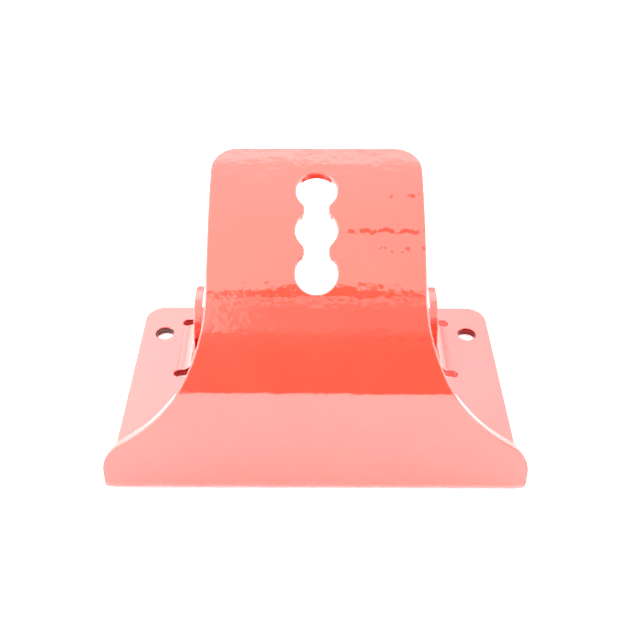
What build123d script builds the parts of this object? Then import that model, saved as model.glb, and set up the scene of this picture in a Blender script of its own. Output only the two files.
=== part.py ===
from build123d import *
import math
import os

# Bracket cut and folded from one sheet of steel: a base plate with two holes for screws, two ears folded
# up from it, and an upright that leaves the base's front edge through a tight bend and curls back over it.
# +Z is up, -Y is the front, and the origin is on the underside, at the middle of the plan.

# Sheet
SHEET = 3.0
EDGE_ROUND = 0.5

# Base plate
WIDTH = 130.0
DEPTH = 91.2
BACK_CORNER = 7.5
HOLE_D = 6.5
HOLE_SPACING = 113.0
HOLE_FROM_FRONT = 75.0

# Upright's side profile on its outer face: a tight bend, a flat skirt, a knee, a wide curl, a flat top.
# Leans are in degrees, back from straight up.
BEND_OUTER = 5.0
SKIRT_LEAN = 5.4
SKIRT_FLAT = 30.0
KNEE_OUTER = 13.5
KNEE_LEAN = 25.3
CURL_OUTER = 87.5
CURL_LEAN = 68.0
TOP_FLAT = 11.4

# Upright's outline, laid out flat: runs are measured along the outer face from the base's front edge
NECK_HALF = 31.8
NECK_START = 72.2
WAIST_ROUND = 58.5
SKIRT_ROUND = 12.4
TOP_CORNER = 8.1

# Slot of three round lobes, joined by short necks
LOBES = 3
LOBE_D = 12.1
LOBE_PITCH = 13.2
LOBE_FROM_TOP = 16.0
SLOT_NECK = 6.9
SLOT_FILLET = 2.4

# Ears, folded up about lines that run front to back
EAR_LENGTH = 25.6
EAR_FROM_FRONT = 67.0
EAR_TOP = 28.3
EAR_FOLD_X = 49.3
EAR_FOLD_INNER = 7.0
EAR_HOLE_D = 6.5
RELIEF_WIDTH = 3.1
RELIEF_END_X = 50.2
RELIEF_LENGTH = 10.6
RELIEF_ROUND = 1.2
NEUTRAL_SHARE = 0.44
KERF = 0.15

# Worked out from the above
FRONT = -DEPTH / 2
BEND_END = FRONT + BEND_OUTER
HALF = WIDTH / 2
BEND_TURN = math.radians(90 + SKIRT_LEAN)
KNEE_TURN = math.radians(KNEE_LEAN - SKIRT_LEAN)
CURL_TURN = math.radians(CURL_LEAN - KNEE_LEAN)
STRETCHES = (
    (BEND_OUTER * BEND_TURN, BEND_TURN),
    (SKIRT_FLAT, 0),
    (KNEE_OUTER * KNEE_TURN, KNEE_TURN),
    (CURL_OUTER * CURL_TURN, CURL_TURN),
    (TOP_FLAT, 0),
)
UPRIGHT_LENGTH = sum(length for length, turn in STRETCHES)
EAR_Y = FRONT + EAR_FROM_FRONT
EAR_ROUND = EAR_LENGTH / 2
EAR_ROUND_Z = EAR_TOP - EAR_ROUND
EAR_FACE_X = EAR_FOLD_X - EAR_FOLD_INNER
RELIEF_OFFSET = (EAR_LENGTH + RELIEF_WIDTH) / 2
RELIEF_CENTRE_X = RELIEF_END_X - RELIEF_WIDTH / 2
CLEAR = 1.0
SPLINE_POINTS = 41
FLAT_BULGE = 1e-6


def upright_point(run, across, behind):
    """A point on the upright: run along its outer face, across from the middle, behind that face."""
    y, z, lean = BEND_END, 0.0, -math.pi / 2
    for length, turn in STRETCHES:
        share = min(run / length, 1.0)
        if turn:
            radius = length / turn
            y += radius * (math.cos(lean) - math.cos(lean + share * turn))
            z += radius * (math.sin(lean + share * turn) - math.sin(lean))
        else:
            y += share * length * math.sin(lean)
            z += share * length * math.cos(lean)
        lean += share * turn
        run = max(run - length, 0.0)
    return Vector(across, y + behind * math.cos(lean), z - behind * math.sin(lean))


def upright_plane(run):
    """The plane that touches the upright's outer face at a run, its normal out and its y up the face."""
    outer = upright_point(run, 0, 0)
    return Plane(outer, x_dir=(1, 0, 0), z_dir=outer - upright_point(run, 0, SHEET))


def below(run):
    """All the space on the near side of the plane that crosses the upright square at a run."""
    size = 3 * WIDTH
    return upright_plane(run) * Box(size, size, size, align=(Align.CENTER, Align.MAX, Align.CENTER))


def strip(run_from, run_to, half_width):
    """The upright between two runs, before its sides are cut to shape."""
    joins = [sum(length for length, turn in STRETCHES[:k]) for k in range(1, len(STRETCHES))]
    runs = [run_from] + [run for run in joins if run_from < run < run_to] + [run_to]
    edges = []
    for behind in (0, SHEET):
        for low, high in zip(runs, runs[1:]):
            start, middle, end = (upright_point(run, 0, behind) for run in (low, (low + high) / 2, high))
            flat = (middle - (start + end) / 2).length < FLAT_BULGE
            edges.append(Line(start, end) if flat else ThreePointArc(start, middle, end))
    for run in (run_from, run_to):
        edges.append(Line(upright_point(run, 0, 0), upright_point(run, 0, SHEET)))
    return extrude(make_face(edges), amount=half_width, both=True)


def outline_arc(centre_across, centre_run, radius, angle_from, angle_to):
    """A cutter outboard of an arc of the flat outline, with its wall square to the sheet."""
    shares = [i / (SPLINE_POINTS - 1) for i in range(SPLINE_POINTS)]
    edges = []
    for behind in (-CLEAR, SHEET + CLEAR):
        points = []
        for share in shares:
            angle = angle_from + (angle_to - angle_from) * share
            across = centre_across + radius * math.cos(angle)
            points.append(upright_point(centre_run + radius * math.sin(angle), across, behind))
        edges.append(Edge.make_spline(points, parameters=shares))
    wall = Face.make_surface_from_curves(edges[0], edges[1])
    return Solid.extrude(wall, Vector(WIDTH, 0, 0))


def make_upright():
    """The front bend, the skirt and curl with their waisted outline, and the round-cornered top."""
    wide = strip(0, NECK_START, HALF)
    waist_across = NECK_HALF + WAIST_ROUND
    round_across = HALF - SKIRT_ROUND
    reach = WAIST_ROUND + SKIRT_ROUND
    round_run = NECK_START - math.sqrt(reach**2 - (waist_across - round_across) ** 2)
    turn = math.atan2(NECK_START - round_run, waist_across - round_across)
    cutter = outline_arc(round_across, round_run, SKIRT_ROUND, 0, turn)
    cutter += outline_arc(waist_across, NECK_START, WAIST_ROUND, math.pi + turn, math.pi)
    wide -= cutter
    wide -= mirror(cutter, about=Plane.YZ)

    neck = strip(NECK_START, UPRIGHT_LENGTH - TOP_FLAT, NECK_HALF)
    top = Rectangle(2 * NECK_HALF, TOP_FLAT, align=(Align.CENTER, Align.MIN))
    top = fillet(top.vertices().group_by(Axis.Y)[-1], TOP_CORNER)
    top = extrude(upright_plane(UPRIGHT_LENGTH - TOP_FLAT) * top, amount=-SHEET)
    return wide + neck + top


def slot_cutter():
    """Three lobes drilled square to the sheet, with a short neck between each pair."""
    depth = 2 * (SHEET + CLEAR)
    first = UPRIGHT_LENGTH - LOBE_FROM_TOP
    cutter = Part()
    for k in range(LOBES):
        cutter += upright_plane(first - k * LOBE_PITCH) * Cylinder(LOBE_D / 2, depth)
    for k in range(LOBES - 1):
        cutter += upright_plane(first - (k + 0.5) * LOBE_PITCH) * Box(SLOT_NECK, LOBE_PITCH, depth)
    through = [e for e in cutter.edges() if e.length > depth - CLEAR]
    corners = [e for e in through if abs(abs(e.center().X) - SLOT_NECK / 2) < SLOT_FILLET / 4]
    return fillet(corners, SLOT_FILLET)


def relief_slots(length):
    """The two relief slots at the ends of the left ear's fold, round at their outboard ends."""
    slots = Sketch()
    for end in (-1, 1):
        centre = Pos(-RELIEF_CENTRE_X, EAR_Y + end * RELIEF_OFFSET)
        slots += centre * Circle(RELIEF_WIDTH / 2)
        slots += centre * Rectangle(length, RELIEF_WIDTH, align=(Align.MIN, Align.CENTER))
    return slots


def ear_window():
    """What the left ear leaves open in the base: its own flat outline, and the relief slots."""
    fold_length = (EAR_FOLD_INNER + NEUTRAL_SHARE * SHEET) * math.pi / 2
    blank_length = fold_length + EAR_TOP - SHEET - EAR_FOLD_INNER
    straight = blank_length - EAR_ROUND + KERF
    window = Pos(-EAR_FOLD_X, EAR_Y) * Rectangle(straight, EAR_LENGTH, align=(Align.MIN, Align.CENTER))
    window += Pos(-EAR_FOLD_X + straight, EAR_Y) * Circle(EAR_ROUND)
    root = Rectangle(EAR_FOLD_X - RELIEF_CENTRE_X, 2 * RELIEF_OFFSET, align=(Align.MIN, Align.CENTER))
    window += Pos(-EAR_FOLD_X, EAR_Y) * root
    window += relief_slots(RELIEF_LENGTH)
    slot_end = RELIEF_LENGTH - RELIEF_CENTRE_X
    corners = [v for v in window.vertices() if abs(v.X - slot_end) < KERF]
    return fillet(corners, RELIEF_ROUND)


def make_base():
    """The flat plate behind the front bend, with its two screw holes and two ear windows."""
    plate = Pos(0, BEND_END) * Rectangle(WIDTH, DEPTH - BEND_OUTER, align=(Align.CENTER, Align.MIN))
    plate = fillet(plate.vertices().group_by(Axis.Y)[-1], BACK_CORNER)
    for side in (-1, 1):
        plate -= Pos(side * HOLE_SPACING / 2, FRONT + HOLE_FROM_FRONT) * Circle(HOLE_D / 2)
    plate -= ear_window()
    plate -= mirror(ear_window(), about=Plane.YZ)
    return extrude(plate, amount=SHEET)


def make_ear(side):
    """One ear: a fold up from the base, then a flat tab with a round top and a cross hole."""
    fold_outer = EAR_FOLD_INNER + SHEET
    fold = Circle(fold_outer) - Circle(EAR_FOLD_INNER)
    fold &= Rectangle(fold_outer, fold_outer, align=(Align.MIN, Align.MAX))
    tab = Rectangle(SHEET, EAR_TOP - fold_outer, align=(Align.MIN, Align.MIN))
    profile = Pos(-EAR_FOLD_X, fold_outer) * (fold + Pos(EAR_FOLD_INNER, 0) * tab)
    middle = Plane((0, EAR_Y, 0), x_dir=(1, 0, 0), z_dir=(0, -1, 0))
    ear = extrude(middle * profile, amount=RELIEF_OFFSET, both=True)
    ear -= extrude(relief_slots(2 * RELIEF_LENGTH), amount=EAR_TOP)

    ear_side = Plane((-EAR_FOLD_X, EAR_Y, 0), x_dir=(0, 1, 0), z_dir=(1, 0, 0))
    shape = Rectangle(3 * EAR_LENGTH, EAR_ROUND_Z, align=(Align.CENTER, Align.MIN))
    shape += Pos(0, EAR_ROUND_Z) * Circle(EAR_ROUND)
    shape -= Pos(0, EAR_ROUND_Z) * Circle(EAR_HOLE_D / 2)
    ear &= extrude(ear_side * shape, amount=2 * EAR_FOLD_INNER)
    return ear if side < 0 else mirror(ear, about=Plane.YZ)


def sharp_edges(shape):
    """The edges where two faces of a shape meet at a corner, not smoothly."""
    beside = {}
    for face in shape.faces():
        for edge in face.edges():
            beside.setdefault(edge, []).append(face)
    sharp = []
    for edge, faces in beside.items():
        if len(faces) == 2:
            middle = edge @ 0.5
            turn = faces[0].normal_at(middle).get_angle(faces[1].normal_at(middle))
            if turn > 30:
                sharp.append(edge)
    return sharp


def make_sheet():
    """The whole folded sheet in one solid, with the cut edges rounded as the coating leaves them."""
    upright = make_upright() - slot_cutter()
    whole = make_base() + upright + make_ear(-1) + make_ear(1)
    return fillet(sharp_edges(whole), EDGE_ROUND)


def block(x_from, x_to, y_from, y_to, z_to):
    """A block that starts below the ground, for taking one region out of the sheet."""
    size = (x_to - x_from, y_to - y_from, z_to + CLEAR)
    return Pos(x_from, y_from, -CLEAR) * Box(*size, align=Align.MIN)


def make_regions(whole):
    """Parts the sheet at its fold lines and at the neck, and returns each region by name."""
    ear_inner = EAR_FACE_X - SHEET - CLEAR
    root = (EAR_Y - RELIEF_OFFSET, EAR_Y + RELIEF_OFFSET)
    cuts = {
        "left_ear": block(-EAR_FOLD_X, -ear_inner, *root, EAR_TOP + CLEAR),
        "right_ear": block(ear_inner, EAR_FOLD_X, *root, EAR_TOP + CLEAR),
        "base_plate": block(-WIDTH, WIDTH, BEND_END, DEPTH, BEND_OUTER),
        "front_bend": below(BEND_OUTER * BEND_TURN),
        "waisted_skirt": below(NECK_START),
    }
    found = {}
    for name, cut in cuts.items():
        found[name] = whole & cut
        whole -= cut
    found["slotted_neck"] = whole
    return found


os.makedirs("parts", exist_ok=True)
sheet = make_sheet()
print("whole sheet", round(sheet.volume), "mm3", sheet.bounding_box().size)
for name, piece in make_regions(sheet).items():
    export_step(piece, f"parts/{name}.step")
    print(name, len(piece.solids()), "solid", round(piece.volume), "mm3", piece.bounding_box())
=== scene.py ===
import math
import bpy
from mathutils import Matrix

# A bracket folded from sheet steel, in glossy red powder coat, on a white floor under a studio tent.
# Lengths are in metres. +Z is up, and -Y is the front.

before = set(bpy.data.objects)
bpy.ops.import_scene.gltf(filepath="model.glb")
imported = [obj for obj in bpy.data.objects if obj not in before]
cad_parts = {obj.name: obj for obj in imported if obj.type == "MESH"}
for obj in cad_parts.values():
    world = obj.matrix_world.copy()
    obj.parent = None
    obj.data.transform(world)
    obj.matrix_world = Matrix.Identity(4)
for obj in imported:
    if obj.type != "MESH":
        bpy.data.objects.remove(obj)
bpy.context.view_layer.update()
scene = bpy.context.scene
scene.view_settings.view_transform = "Standard"
scene.view_settings.look = "None"

MM = 0.001


# Node helpers: a value is a number, a tuple or another node's output

def node(tree, kind, **values):
    made = tree.nodes.new(kind)
    for name, value in values.items():
        setattr(made, name, value)
    return made


def plug(tree, value, socket):
    if isinstance(value, (int, float, tuple)):
        socket.default_value = value
    else:
        tree.links.new(value, socket)


def calc(tree, operation, *values):
    made = node(tree, "ShaderNodeMath", operation=operation)
    for value, socket in zip(values, made.inputs):
        plug(tree, value, socket)
    return made.outputs[0]


def product(tree, first, *others):
    for other in others:
        first = calc(tree, "MULTIPLY", first, other)
    return first


def total(tree, first, *others):
    for other in others:
        first = calc(tree, "ADD", first, other)
    return first


def length(tree, *parts):
    squares = [product(tree, part, part) for part in parts]
    return calc(tree, "SQRT", total(tree, *squares))


def noise(tree, vector, scale, detail=2.0):
    made = node(tree, "ShaderNodeTexNoise")
    made.inputs["Scale"].default_value = scale
    made.inputs["Detail"].default_value = detail
    plug(tree, vector, made.inputs["Vector"])
    return made.outputs["Fac"]


def stretched(tree, place, scale):
    made = node(tree, "ShaderNodeMapping")
    made.inputs["Scale"].default_value = scale
    plug(tree, place, made.inputs["Vector"])
    return made.outputs["Vector"]


def ramp(tree, value, from_low, from_high, to_low=0.0, to_high=1.0, smooth=False):
    made = node(tree, "ShaderNodeMapRange")
    if smooth:
        made.interpolation_type = "SMOOTHSTEP"
    ends = {"From Min": from_low, "From Max": from_high, "To Min": to_low, "To Max": to_high}
    for name, number in ends.items():
        made.inputs[name].default_value = number
    plug(tree, value, made.inputs["Value"])
    return made.outputs["Result"]


def band(tree, value, middle, half, soft):
    """1 within half of middle, falling to 0 over soft."""
    away = calc(tree, "ABSOLUTE", calc(tree, "SUBTRACT", value, middle))
    return ramp(tree, away, half + soft, half)


def by_side(tree, x, left, right):
    """The number for the left of the bracket or for its right."""
    return ramp(tree, x, -MM, MM, left, right)


def blend(tree, factor, a, b):
    made = node(tree, "ShaderNodeMix", data_type="RGBA")
    plug(tree, factor, made.inputs["Factor"])
    plug(tree, a, made.inputs["A"])
    plug(tree, b, made.inputs["B"])
    return made.outputs["Result"]


# Powder coat

BASE_TOP = 3 * MM

# Two reds, and two degrees of gloss as roughness, each pair mixed by a noise
RED_A = (0.68, 0.0352, 0.0190, 1)
RED_B = (0.70, 0.0384, 0.0212, 1)
RED_SCALE = 60.0
RED_MIX = (0.35, 0.65)
GLOSS = (0.05, 0.09)
GLOSS_SCALE = 120.0
GLOSS_MIX = (0.3, 0.7)
COAT_IOR = 1.8

# Screw holes, whose walls get painted shade, grey-brown like uncoated metal on the left and dark red on the
# right: side, tint
HOLE_X = 56.5 * MM
HOLE_Y = 29.4 * MM
HOLE_R = 3.25 * MM
HOLE_FADE = (HOLE_R + 0.35 * MM, HOLE_R + 0.1 * MM)
HOLE_SHADE_TINTS = ((-1, (0.10, 0.040, 0.034, 1)), (1, (0.18, 0.008, 0.006, 1)))
# How metallic the walls of the holes and relief slots are made, partly as uncoated metal, partly to darken
# them as painted shade
STEEL_AND_SHADE_SHARE = 0.85

# Relief slots at the ends of the ears' folds, whose walls get painted shade, less dark and less metallic on
# the right
RELIEF_FROM = 39.0 * MM
RELIEF_TO = 48.65 * MM
RELIEF_ROWS = (7.05 * MM, 35.75 * MM)
RELIEF_R = 1.55 * MM
RELIEF_FADE = (RELIEF_R + 0.3 * MM, RELIEF_R + 0.1 * MM)
# Painted shade for the slots' walls, left and right, and the share of metal on the right
RELIEF_SHADE_LEFT = (0.24, 0.010, 0.008, 1)
RELIEF_SHADE_RIGHT = (0.62, 0.07, 0.05, 1)
RELIEF_RIGHT_METAL_SHARE = 0.4

# Orange peel of fine and broad bumps; the fine ones get lower over PEEL_TURN
PEEL_SCALE = 560.0
PEEL_TURN = (78 * MM, 85 * MM)
PEEL_HEIGHTS = (0.045 * MM, 0.022 * MM)
BROAD_SCALE = 300.0
BROAD_HEIGHT = 0.022 * MM

# Groove along each ear's fold, fainter on the right
FOLD_X = 49.3 * MM
GROOVE_WIDTH = 0.18 * MM
GROOVE_HALF_LENGTH = 14.0 * MM
GROOVE_DEPTH = 0.10 * MM
GROOVE_RIGHT = 0.3

# The upright's marks come in over these heights, and wobble up and down
MARKS_START = (12 * MM, 30 * MM)
WOBBLE_SCALE = 500.0
WOBBLE = 1.8 * MM
RIPPLE_SCALE = 500.0
RIPPLE_HEIGHT = 0.022 * MM

# Lines that the press brake left across the curl, and the line above which the top turns down
BRAKE_LINES = (86.9 * MM, 81.2 * MM, 75.3 * MM, 71.6 * MM, 70.2 * MM)
BRAKE_WIDTH = 0.5 * MM
BRAKE_DEPTH = 0.006 * MM
TOP_LINE = 85.4 * MM
TOP_RUN = 4 * MM
TOP_DROP = 0.14 * MM

# Dents along the brake's lines: height, how far right they start, share left clean, strength
DENTS = (
    (80.9 * MM, 17 * MM, 0.53, 1.0),
    (75.1 * MM, 7 * MM, 0.44, 1.0),
    (71.7 * MM, 15 * MM, 0.53, 1.0),
    (53.2 * MM, 18 * MM, 0.47, 0.3),
)
DENT_SPOTS = 420.0
DENT_HALF = 0.2 * MM
DENT_SOFT = 0.3 * MM
# How far a dent turns the surface down, and the roughness it adds
DENT_TILT = (0.0, -0.30, -0.45)
WEAR = 0.22

# Scratch that falls to the right: height where x is 0, fall per length, middle and half of its run
SCRATCH_Z = 53.9 * MM
SCRATCH_FALL = 0.333
SCRATCH_X = 19 * MM
SCRATCH_REACH = 17 * MM
SCRATCH_HALF = 0.1 * MM
SCRATCH_SOFT = 0.3 * MM
# Its roughness as a share of a dent's
SCRATCH_WEAR = 0.6


def coat_tint(tree, x, y, place):
    """The coat's colour, with painted shade in the holes and relief slots, and how metallic their walls are,
    partly as uncoated metal and partly to darken them as painted shade.
    """
    tint = blend(tree, ramp(tree, noise(tree, place, RED_SCALE), *RED_MIX), RED_A, RED_B)
    steel_and_shade = 0.0
    # Painted shade on the screw holes' walls
    for side, shaded_tint in HOLE_SHADE_TINTS:
        across = calc(tree, "SUBTRACT", x, side * HOLE_X)
        along = calc(tree, "SUBTRACT", y, HOLE_Y)
        inside = ramp(tree, length(tree, across, along), *HOLE_FADE)
        tint = blend(tree, inside, tint, shaded_tint)
        steel_and_shade = calc(tree, "MAXIMUM", steel_and_shade, inside)

    # Painted shade in the relief slots, less dark on the right
    relief = blend(tree, by_side(tree, x, 0.0, 1.0), RELIEF_SHADE_LEFT, RELIEF_SHADE_RIGHT)
    metal_share = by_side(tree, x, 1.0, RELIEF_RIGHT_METAL_SHARE)
    wide = calc(tree, "ABSOLUTE", x)
    nearest = calc(tree, "MINIMUM", calc(tree, "MAXIMUM", wide, RELIEF_FROM), RELIEF_TO)
    across = calc(tree, "SUBTRACT", wide, nearest)
    for row in RELIEF_ROWS:
        along = calc(tree, "SUBTRACT", y, row)
        inside = ramp(tree, length(tree, across, along), *RELIEF_FADE)
        tint = blend(tree, inside, tint, relief)
        steel_and_shade = calc(tree, "MAXIMUM", steel_and_shade, product(tree, inside, metal_share))
    return tint, product(tree, steel_and_shade, STEEL_AND_SHADE_SHARE)


def upright_marks(tree, x, z, place):
    """(dents, scratch, height): where the upright is dented, where it is scratched, and its slight bends."""
    along = stretched(tree, place, (1.0, 0.1, 0.1))
    wobble = product(tree, calc(tree, "SUBTRACT", noise(tree, along, WOBBLE_SCALE, 3.0), 0.5), WOBBLE)
    level = total(tree, z, wobble)

    spots = noise(tree, stretched(tree, place, (1.0, 0.5, 0.5)), DENT_SPOTS)
    dents = 0.0
    for middle, start, clean, strength in DENTS:
        spot = ramp(tree, spots, clean, clean + 0.05)
        right = ramp(tree, x, start, start + 3 * MM, 0.0, strength)
        line = band(tree, level, middle, DENT_HALF, DENT_SOFT)
        dents = calc(tree, "MAXIMUM", dents, product(tree, line, product(tree, spot, right)))

    sloped = total(tree, level, product(tree, x, SCRATCH_FALL))
    scratch = product(tree, band(tree, sloped, SCRATCH_Z, SCRATCH_HALF, SCRATCH_SOFT),
                      band(tree, x, SCRATCH_X, SCRATCH_REACH, 3 * MM))

    height = product(tree, ramp(tree, level, TOP_LINE, TOP_LINE + TOP_RUN), -TOP_DROP)
    for middle in BRAKE_LINES:
        line = band(tree, level, middle, 0.0, BRAKE_WIDTH)
        height = total(tree, height, product(tree, line, -BRAKE_DEPTH))
    ripple = noise(tree, stretched(tree, place, (0.3, 1.0, 1.0)), RIPPLE_SCALE, 1.0)
    height = total(tree, height, product(tree, ripple, RIPPLE_HEIGHT))

    upright = ramp(tree, z, *MARKS_START)
    return tuple(product(tree, mark, upright) for mark in (dents, scratch, height))


def orange_peel(tree, z, place):
    fine = product(tree, noise(tree, place, PEEL_SCALE, 1.0), ramp(tree, z, *PEEL_TURN, *PEEL_HEIGHTS))
    broad = product(tree, noise(tree, place, BROAD_SCALE, 0.0), BROAD_HEIGHT)
    return total(tree, fine, broad)


def fold_groove(tree, x, y, z):
    """Height of the groove along each ear's fold, on top of the base and between the relief slots."""
    line = band(tree, calc(tree, "ABSOLUTE", x), FOLD_X, 0.0, GROOVE_WIDTH)
    low = ramp(tree, z, BASE_TOP + 0.3 * MM, BASE_TOP + 0.1 * MM)
    fainter = by_side(tree, x, 1.0, GROOVE_RIGHT)
    run = band(tree, y, sum(RELIEF_ROWS) / 2, GROOVE_HALF_LENGTH, 0.4 * MM)
    return product(tree, line, low, fainter, run, -GROOVE_DEPTH)


def bumped(tree, height):
    """The normal on a surface of these heights, in metres."""
    bump = node(tree, "ShaderNodeBump")
    bump.inputs["Strength"].default_value = 1.0
    bump.inputs["Distance"].default_value = 1.0
    plug(tree, height, bump.inputs["Height"])
    return bump.outputs["Normal"]


def dented(tree, normal, dents):
    """The normal turned down where there are dents."""
    turn = node(tree, "ShaderNodeVectorMath", operation="SCALE")
    plug(tree, DENT_TILT, turn.inputs[0])
    plug(tree, dents, turn.inputs["Scale"])
    tilted = node(tree, "ShaderNodeVectorMath", operation="ADD")
    plug(tree, normal, tilted.inputs[0])
    plug(tree, turn.outputs[0], tilted.inputs[1])
    unit = node(tree, "ShaderNodeVectorMath", operation="NORMALIZE")
    plug(tree, tilted.outputs[0], unit.inputs[0])
    return unit.outputs[0]


def powder_coat():
    mat = bpy.data.materials.new("powder_coat")
    mat.use_nodes = True
    tree = mat.node_tree
    bsdf = tree.nodes["Principled BSDF"]
    bsdf.inputs["IOR"].default_value = COAT_IOR
    place = node(tree, "ShaderNodeTexCoord").outputs["Object"]
    split = node(tree, "ShaderNodeSeparateXYZ")
    plug(tree, place, split.inputs[0])
    x, y, z = split.outputs

    tint, steel_and_shade = coat_tint(tree, x, y, place)
    plug(tree, tint, bsdf.inputs["Base Color"])
    # Metallic walls in the holes and relief slots, partly uncoated metal, partly painted shade
    plug(tree, steel_and_shade, bsdf.inputs["Metallic"])

    dents, scratch, marks = upright_marks(tree, x, z, place)
    gloss = ramp(tree, noise(tree, place, GLOSS_SCALE), *GLOSS_MIX, *GLOSS)
    worn = calc(tree, "MAXIMUM", product(tree, scratch, SCRATCH_WEAR), dents)
    plug(tree, total(tree, gloss, product(tree, worn, WEAR)), bsdf.inputs["Roughness"])

    height = total(tree, orange_peel(tree, z, place), marks, fold_groove(tree, x, y, z))
    plug(tree, dented(tree, bumped(tree, height), dents), bsdf.inputs["Normal"])
    return mat


coat = powder_coat()
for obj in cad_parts.values():
    for slot in obj.material_slots:
        slot.material = coat


# Floor, which glows a little so that it stays white

FLOOR_SIZE = 6
FLOOR_Z = -0.05 * MM
FLOOR_COLOUR = (0.89, 0.89, 0.91, 1)
FLOOR_ROUGHNESS = 0.9
FLOOR_GLOW = 0.3


def make_floor():
    bpy.ops.mesh.primitive_plane_add(size=FLOOR_SIZE, location=(0, 0, FLOOR_Z))
    floor = bpy.context.object
    floor.name = "floor"
    mat = bpy.data.materials.new("floor")
    mat.use_nodes = True
    bsdf = mat.node_tree.nodes["Principled BSDF"]
    bsdf.inputs["Base Color"].default_value = FLOOR_COLOUR
    bsdf.inputs["Roughness"].default_value = FLOOR_ROUGHNESS
    bsdf.inputs["Emission Color"].default_value = (1, 1, 1, 1)
    bsdf.inputs["Emission Strength"].default_value = FLOOR_GLOW
    floor.data.materials.append(mat)


make_floor()


# Studio light: a bright tent whose brightness goes by the angle over the top, from the front horizon to the
# back one, with an open dark front, a flank on each side, and a lamp towards the front of each flank.
# Here x, y and z are the parts of a direction, and angles are in degrees.

# Angle over the top, brightness, blueness
TENT = (
    (0, 1.5, 1.0),
    (0.5, 0.12, 1.0),
    (26, 0.15, 1.0),
    (33, 0.4, 1.0),
    (35, 0.85, 1.0),
    (45.5, 0.8, 1.0),
    (46.5, 1.9, 1.0),
    (48.0, 1.9, 1.0),
    (48.8, 0.1, 1.0),
    (54.2, 0.1, 1.0),
    (54.6, 2.75, 0.95),
    (75, 2.75, 0.98),
    (88, 2.8, 1.0),
    (97, 2.85, 1.02),
    (108.2, 2.85, 1.02),
    (108.8, 4.6, 1.04),
    (125, 4.6, 1.04),
    (139, 4.5, 1.05),
    (150, 2.8, 1.05),
    (162, 1.6, 1.0),
    (180, 1.3, 1.0),
)
# Colours are shares of this level, which is the world's strength, give or take a drift from left to right
LEVEL_TOP = 10.0
DRIFT = 0.14
DRIFT_X = 0.25

# The dark strip's upper edge bows down to the sides, more so on the left
BOW_LEFT = 500.0
BOW_RIGHT = 250.0
BOW_TURN_X = 0.02
BOW_STARTS = (49.5, 51)
BOW_STOPS = (60, 56)

# Bright streak on the left of the dark front
STREAK = 2.5
STREAK_SHARE = 0.8
STREAK_X = (-0.075, -0.125)
STREAK_MIDDLE = 41.5
STREAK_HALF = 7.0

# Flanks, darker near the horizon and brighter at the back
FLANK = 2.7
FLANK_LOW = 1.0
FLANK_RISE = (0.1, 0.4)
FLANK_BACK = 4.3
FLANK_BACK_Y = (0.3, 0.6)
FLANK_MIDDLE = 0.06
FLANK_EDGE = (0.34, 0.46)
# Around this angle, high at the back, they start further out
OUT_ANGLE = 130.0
OUT_HALF = 16.0
OUT_SOFT = 12.0
OUT_BY = 0.25
# Share of their light that spills over the left half of the tent
SPILL = 0.08
SPILL_X = (0.1, -0.2)

# Lamps, which start further in and reach further back where they are high
LAMP = 9.5
LAMP_EDGE = (0.78, 0.88)
LAMP_BACK = (-0.1, -0.3)
LAMP_HIGH = (0.42, 0.5)
LAMP_IN_BY = 0.28
LAMP_BACK_BY = 0.45


def tone(level, blue=1.0):
    share = level / LEVEL_TOP
    return (share, share, share * blue, 1)


def bowed(tree, x, angle):
    """The angle over the top, raised beside the middle so that the dark strip's upper edge bows down."""
    bow = product(tree, product(tree, x, x), ramp(tree, x, -BOW_TURN_X, BOW_TURN_X, BOW_LEFT, BOW_RIGHT))
    near = product(tree, ramp(tree, angle, *BOW_STARTS), ramp(tree, angle, *BOW_STOPS))
    return total(tree, angle, product(tree, bow, near))


def over_the_top(tree, angle):
    over = node(tree, "ShaderNodeValToRGB")
    stops = over.color_ramp.elements
    for degrees, _, _ in TENT[1:-1]:
        stops.new(degrees / 180)
    for stop, (_, level, blue) in zip(stops, TENT):
        stop.color = tone(level, blue)
    plug(tree, calc(tree, "DIVIDE", angle, 180.0), over.inputs["Fac"])
    return over.outputs["Color"]


def add_spill_and_streak(tree, light, x, angle):
    light = blend(tree, ramp(tree, x, *SPILL_X, 0.0, SPILL), light, tone(FLANK))
    streak = product(tree, ramp(tree, x, *STREAK_X, 0.0, STREAK_SHARE),
                     band(tree, angle, STREAK_MIDDLE, STREAK_HALF, 1.0))
    return blend(tree, streak, light, tone(STREAK))


def add_flanks(tree, light, x, y, z, angle):
    off = calc(tree, "ABSOLUTE", calc(tree, "SUBTRACT", x, FLANK_MIDDLE))
    out = product(tree, band(tree, angle, OUT_ANGLE, OUT_HALF, OUT_SOFT), OUT_BY)
    flank = ramp(tree, calc(tree, "SUBTRACT", off, out), *FLANK_EDGE, smooth=True)
    sides = blend(tree, ramp(tree, z, *FLANK_RISE), tone(FLANK_LOW), tone(FLANK))
    sides = blend(tree, ramp(tree, y, *FLANK_BACK_Y), sides, tone(FLANK_BACK))
    return blend(tree, flank, light, sides)


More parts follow.
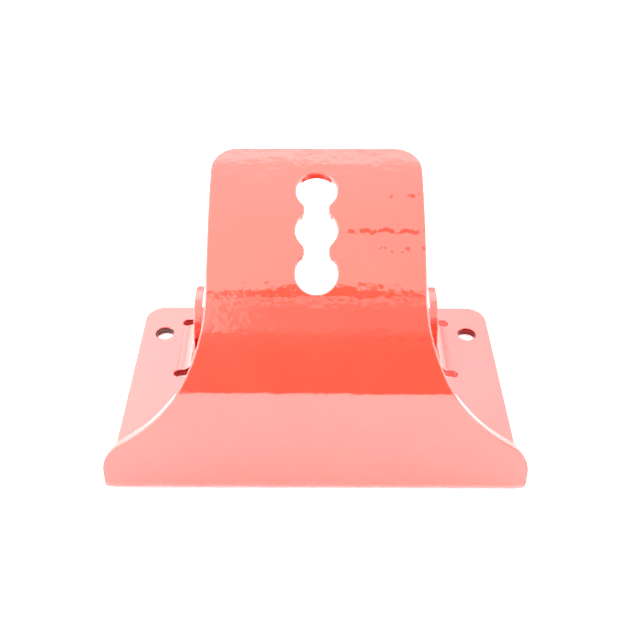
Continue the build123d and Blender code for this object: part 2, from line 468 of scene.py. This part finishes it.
def add_lamps(tree, light, x, y, z):
    high = ramp(tree, z, *LAMP_HIGH)
    outward = total(tree, calc(tree, "ABSOLUTE", x), product(tree, high, LAMP_IN_BY))
    rearward = calc(tree, "SUBTRACT", y, product(tree, high, LAMP_BACK_BY))
    lamp = product(tree, ramp(tree, outward, *LAMP_EDGE, smooth=True),
                   ramp(tree, rearward, *LAMP_BACK, smooth=True))
    return blend(tree, lamp, light, tone(LAMP))


def make_tent():
    world = bpy.data.worlds.new("studio")
    world.use_nodes = True
    scene.world = world
    tree = world.node_tree
    background = tree.nodes["Background"]
    split = node(tree, "ShaderNodeSeparateXYZ")
    plug(tree, node(tree, "ShaderNodeTexCoord").outputs["Generated"], split.inputs[0])
    x, y, z = split.outputs
    turn = calc(tree, "ARCTAN2", z, product(tree, y, -1.0))
    angle = bowed(tree, x, product(tree, turn, 180 / math.pi))

    light = over_the_top(tree, angle)
    light = add_spill_and_streak(tree, light, x, angle)
    light = add_flanks(tree, light, x, y, z, angle)
    light = add_lamps(tree, light, x, y, z)

    # The camera itself sees plain white
    seen = node(tree, "ShaderNodeLightPath").outputs["Is Camera Ray"]
    plug(tree, blend(tree, seen, light, tone(1.0)), background.inputs["Color"])
    left = LEVEL_TOP * (1 + DRIFT)
    right = LEVEL_TOP * (1 - DRIFT)
    drifting = ramp(tree, x, -DRIFT_X, DRIFT_X, left, right)
    strength = total(tree, product(tree, drifting, calc(tree, "SUBTRACT", 1.0, seen)),
                     product(tree, LEVEL_TOP, seen))
    plug(tree, strength, background.inputs["Strength"])


make_tent()


# Camera, with its turns in degrees: how far it looks down, and how far to the left

CAMERA_PLACE = (-0.33 * MM, -231.2 * MM, 218.1 * MM)
LOOKS_DOWN = 38.36
LOOKS_LEFT = 0.21
LENS = 51.53
CLIP_START = 0.01


def make_camera():
    camera = bpy.data.objects.new("camera", bpy.data.cameras.new("camera"))
    scene.collection.objects.link(camera)
    camera.location = CAMERA_PLACE
    camera.rotation_mode = "ZYX"
    camera.rotation_euler = (math.radians(90 - LOOKS_DOWN), 0, math.radians(LOOKS_LEFT))
    camera.data.lens = LENS
    camera.data.clip_start = CLIP_START
    scene.camera = camera


make_camera()
